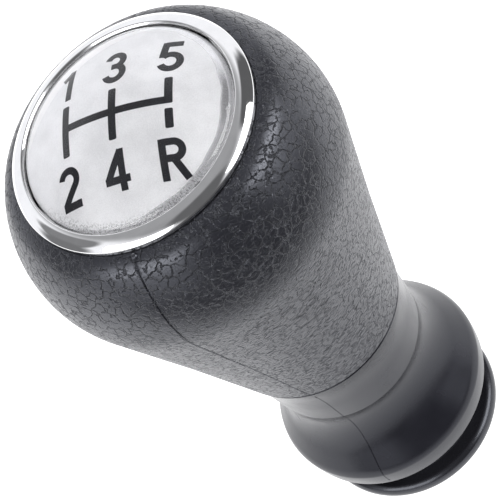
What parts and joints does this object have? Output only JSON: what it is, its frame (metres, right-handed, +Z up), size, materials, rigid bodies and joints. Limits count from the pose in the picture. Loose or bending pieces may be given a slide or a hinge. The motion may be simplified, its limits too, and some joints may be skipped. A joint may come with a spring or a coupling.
{
  "type": "gear shift knob",
  "caption": "Manual gear shift knob: grained soft grip tapering to a smooth bell-shaped collar, chrome ring, domed silver badge, slit lever socket.",
  "frame": {"origin": "on the knob's axis at the underside of the base flange", "axes": "+Z up along the axis of the knob and lever, +X to the right of the shift pattern, -Y towards the driver, below the pattern"},
  "size_m": [0.05, 0.05, 0.1021],
  "materials": {
    "soft_grip": "grained, satin",
    "core_plastic": "moulded",
    "chrome_ring": "polished",
    "foam_pad": "foam",
    "silver_plate": "satin",
    "clear_dome": "clear, polished",
    "collar_plastic": "smooth, semi-gloss",
    "base_plastic": "smooth, semi-gloss",
    "bush_plastic": "moulded",
    "spring_steel": "rolled"
  },
  "bodies": {
    "root": {"grip_skin": "soft_grip", "grip_core": "core_plastic", "bezel_ring": "chrome_ring", "badge_seat": "core_plastic", "badge_pad": "foam_pad", "badge_plate": "silver_plate", "dome_lens": "clear_dome", "collar": "collar_plastic", "gaiter_ring": "base_plastic", "lever_bush": "bush_plastic", "spring_clip": "spring_steel"}
  },
  "joints": []
}
